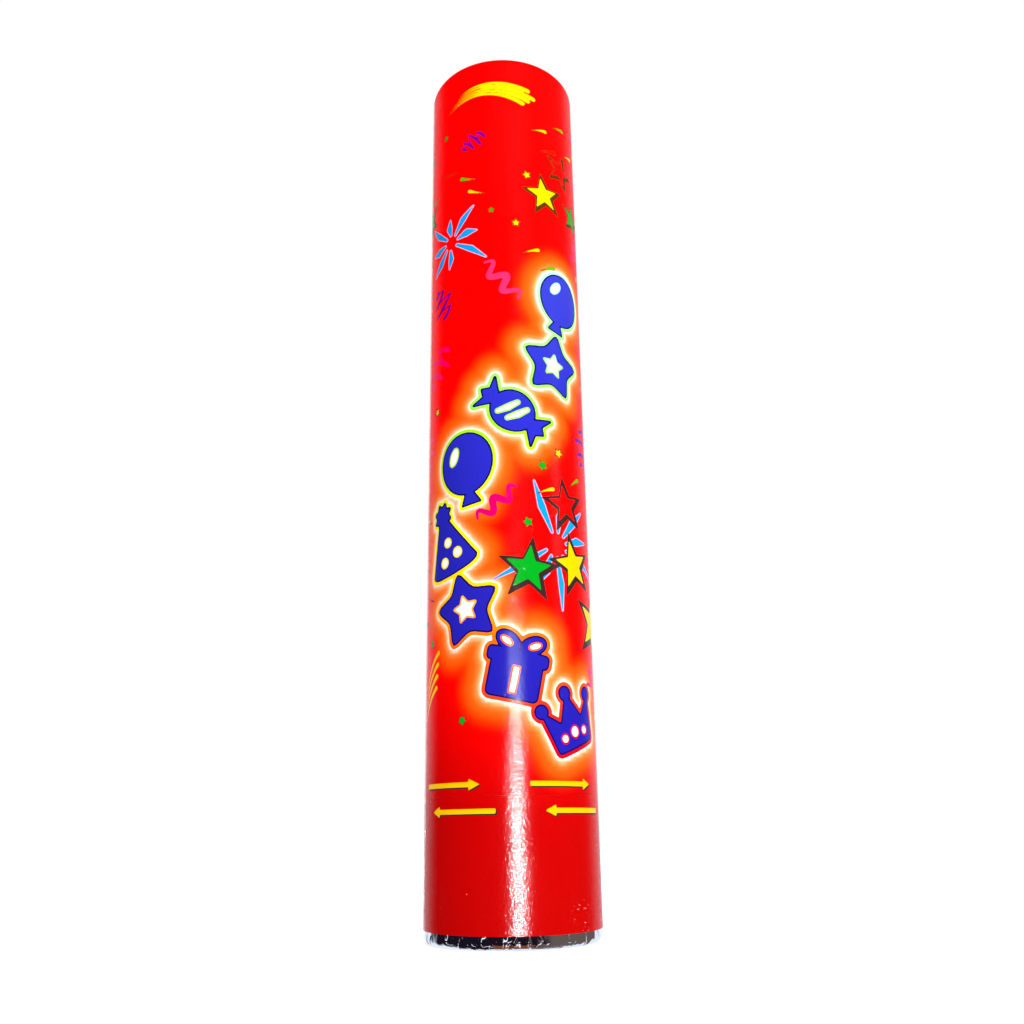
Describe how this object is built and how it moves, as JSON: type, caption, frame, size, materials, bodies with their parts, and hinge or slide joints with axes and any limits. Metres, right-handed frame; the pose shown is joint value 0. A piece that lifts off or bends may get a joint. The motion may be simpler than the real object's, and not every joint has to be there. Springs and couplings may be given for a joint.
{
  "type": "confetti popper",
  "caption": "Hand-held confetti popper: a long printed card tube that fires when its short grip is twisted, with a foil base and a recessed foil muzzle.",
  "frame": {"origin": "middle of the foil base, on the resting plane", "axes": "+Z along the tube from the grip to the muzzle, -Y towards the front of the printed label"},
  "size_m": [0.05, 0.05, 0.28],
  "materials": {
    "label_print": "gloss",
    "foil": "polished",
    "wound_board": "matte",
    "bottle_metal": "satin",
    "valve_white": "satin",
    "stopper_orange": "satin",
    "black_rubber": "matte",
    "steel": "satin",
    "foam": "matte",
    "streamer_paper": "matte",
    "slip_paper": "satin"
  },
  "bodies": {
    "barrel": {"barrel_tube": "wound_board", "barrel_label": "label_print", "bearing_ring": "wound_board", "valve_cage": "valve_white", "wad_seat_ring": "wound_board", "hold_down_spring": "steel"},
    "grip": {"base_foil": "foil", "base_plug": "wound_board", "grip_tube": "wound_board", "grip_label": "label_print", "grip_liner": "wound_board", "core_tube": "wound_board", "stop_ring": "wound_board", "bottle_spacers": "wound_board", "gas_bottle": "bottle_metal", "neck_gasket": "black_rubber", "cam_collar": "valve_white"},
    "stopper": {"stopper": "stopper_orange", "stopper_oring": "black_rubber", "cross_pin": "steel"},
    "charge": {"wad_disc": "wound_board", "wad_foam": "foam", "streamer_rolls": "streamer_paper", "confetti_lower": "slip_paper", "confetti_upper": "slip_paper"},
    "closure": {"muzzle_disc": "wound_board", "muzzle_foil": "foil"}
  },
  "joints": [
    {"name": "grip_twist", "type": "hinge", "parent": "barrel", "child": "grip", "pos_m": [0, 0, 0.038], "axis": [0, 0, -1], "range_deg": [0, 90]},
    {"name": "stopper_lift", "type": "slide", "parent": "barrel", "child": "stopper", "axis": [0, 0, 1], "range_m": [0, 0.005], "deforming": ["hold_down_spring"]},
    {"name": "charge_travel", "type": "slide", "parent": "barrel", "child": "charge", "axis": [0, 0, 1], "range_m": [0, 0.15]},
    {"name": "closure_travel", "type": "slide", "parent": "barrel", "child": "closure", "axis": [0, 0, 1], "range_m": [0, 0.15]}
  ],
  "couplings": [
    {"joint": "stopper_lift", "follows": "grip_twist", "m_per_rad": 0.0031831},
    {"joint": "closure_travel", "follows": "charge_travel", "ratio": 1}
  ]
}
